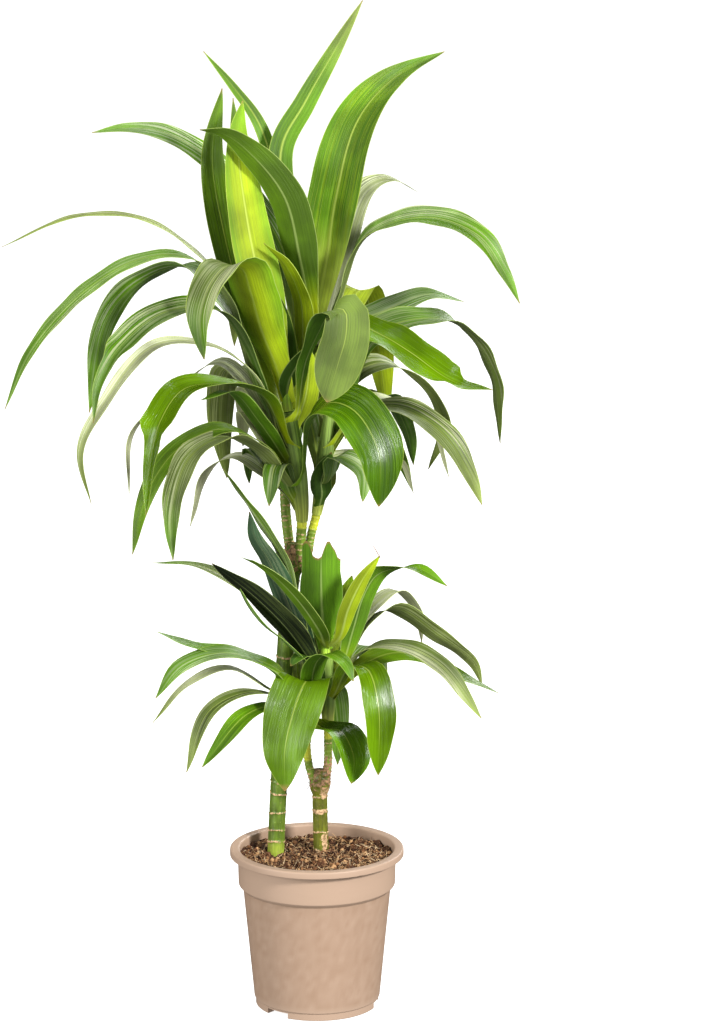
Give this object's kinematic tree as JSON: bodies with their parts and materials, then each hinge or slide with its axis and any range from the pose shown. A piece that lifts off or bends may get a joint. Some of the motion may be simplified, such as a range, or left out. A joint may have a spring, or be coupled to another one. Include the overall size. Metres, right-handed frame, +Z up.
{
  "type": "potted corn plant",
  "caption": "House plant with two ringed canes of different height, rosettes of long arching strap leaves and a tapered nursery pot filled with soil",
  "frame": {"origin": "centre of the flat underside of the pot, on the surface that it stands on", "axes": "+Z up along the pot's axis, +X to the right and -Y towards a viewer who faces the plant; the short cane stands at +X of the tall one"},
  "size_m": [0.5018, 0.3115, 0.9856],
  "materials": {
    "pot": "matte taupe moulded plastic",
    "soil": "dark brown fibrous potting soil",
    "cane": "green ringed bark with tan leaf scars",
    "shoot": "smooth yellow-green young stem",
    "leaf": "glossy deep green leaf",
    "heart": "glossy lime young leaf"
  },
  "bodies": {
    "root": {"pot": "pot", "soil": "soil", "tall_cane": "cane", "short_cane": "cane", "tall_left_shoot": "shoot", "tall_left_leaves": "leaf", "tall_middle_shoot": "shoot", "tall_middle_leaves": "leaf", "tall_right_shoot": "shoot", "tall_right_leaves": "leaf", "short_left_shoot": "shoot", "short_left_leaves": "leaf", "short_right_shoot": "shoot", "short_right_leaves": "leaf", "tall_left_heart": "heart", "tall_middle_heart": "heart", "short_right_heart": "heart"}
  },
  "joints": []
}
